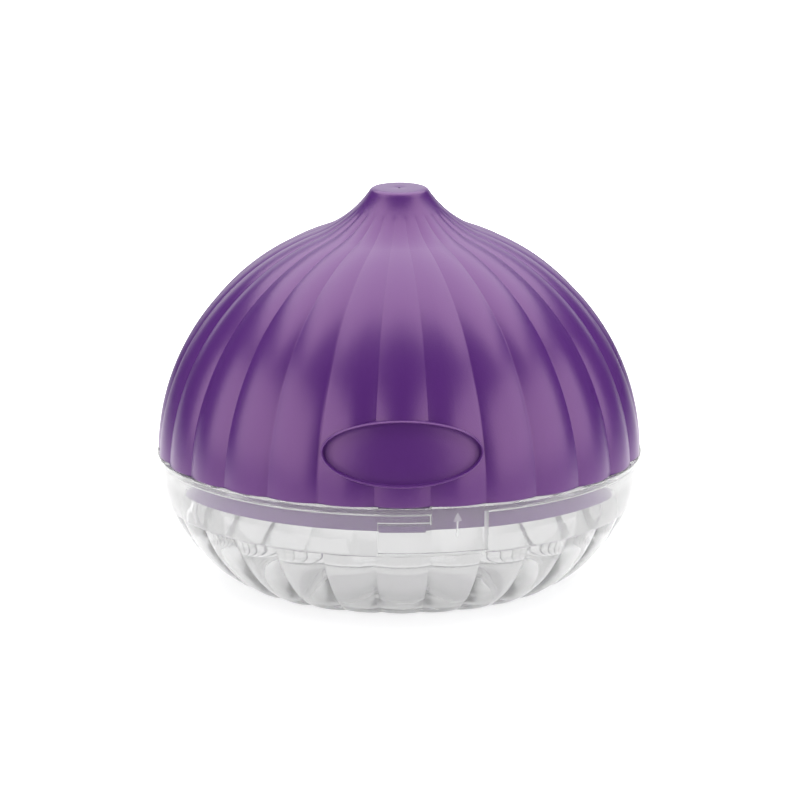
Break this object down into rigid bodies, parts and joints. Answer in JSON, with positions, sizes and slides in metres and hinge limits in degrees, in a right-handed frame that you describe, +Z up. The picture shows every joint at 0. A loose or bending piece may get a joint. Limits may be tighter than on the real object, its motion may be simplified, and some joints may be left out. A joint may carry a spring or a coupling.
{
  "type": "onion keeper",
  "caption": "Round onion keeper: clear fluted bowl with an opaque purple ribbed onion-shaped lid and bare oval plaque; the lid locks and unlocks with a short turn.",
  "frame": {"origin": "centre of the foot ring that the keeper stands on", "axes": "+Z up along the keeper's axis, -Y towards the front with the oval plaque, +X to the right of the plaque"},
  "size_m": [0.12, 0.12, 0.0975],
  "materials": {
    "clear_plastic": "clear, polished",
    "purple_plastic": "opaque purple, satin gloss"
  },
  "bodies": {
    "base": {"bowl": "clear_plastic"},
    "cover": {"lid": "purple_plastic"}
  },
  "joints": [
    {"name": "lid_twist", "type": "hinge", "parent": "base", "child": "cover", "pos_m": [0, 0, 0.0315], "axis": [0, 0, 1], "range_deg": [0, 15]}
  ]
}
